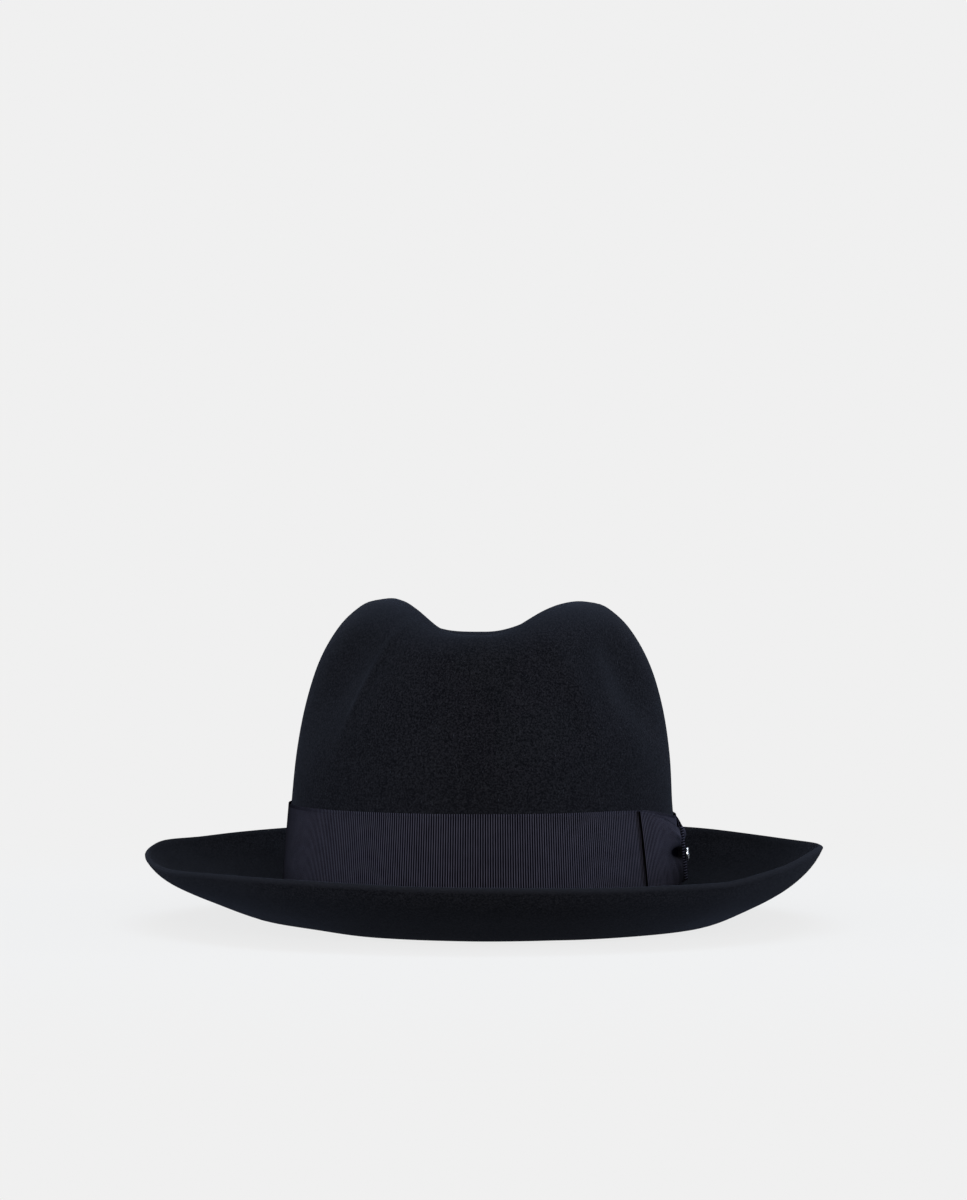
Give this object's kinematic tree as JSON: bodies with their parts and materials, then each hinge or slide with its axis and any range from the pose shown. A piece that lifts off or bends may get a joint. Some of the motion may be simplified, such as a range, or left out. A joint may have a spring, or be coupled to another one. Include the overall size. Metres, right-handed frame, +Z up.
{
  "type": "felt fedora hat",
  "caption": "Dark felt hat with a centre-dented, front-pinched crown, a brim curled up all round, and a ribbed ribbon band with a flat side bow.",
  "frame": {"origin": "under the middle of the hat, on the surface that it rests on", "axes": "+Z up, -Y to the front of the hat, +X to the wearer's left, where the bow is"},
  "size_m": [0.3031, 0.3404, 0.1439],
  "materials": {
    "navy_felt": "dark navy wool felt with a fine short nap",
    "grosgrain": "dark navy ribbed ribbon with a low sheen",
    "stud_metal": "satin, plain and unmarked"
  },
  "bodies": {
    "root": {"felt_body": "navy_felt", "hat_band": "grosgrain", "bow_front_loop": "grosgrain", "bow_back_loop": "grosgrain", "bow_knot": "grosgrain", "bow_stud": "stud_metal"}
  },
  "joints": []
}
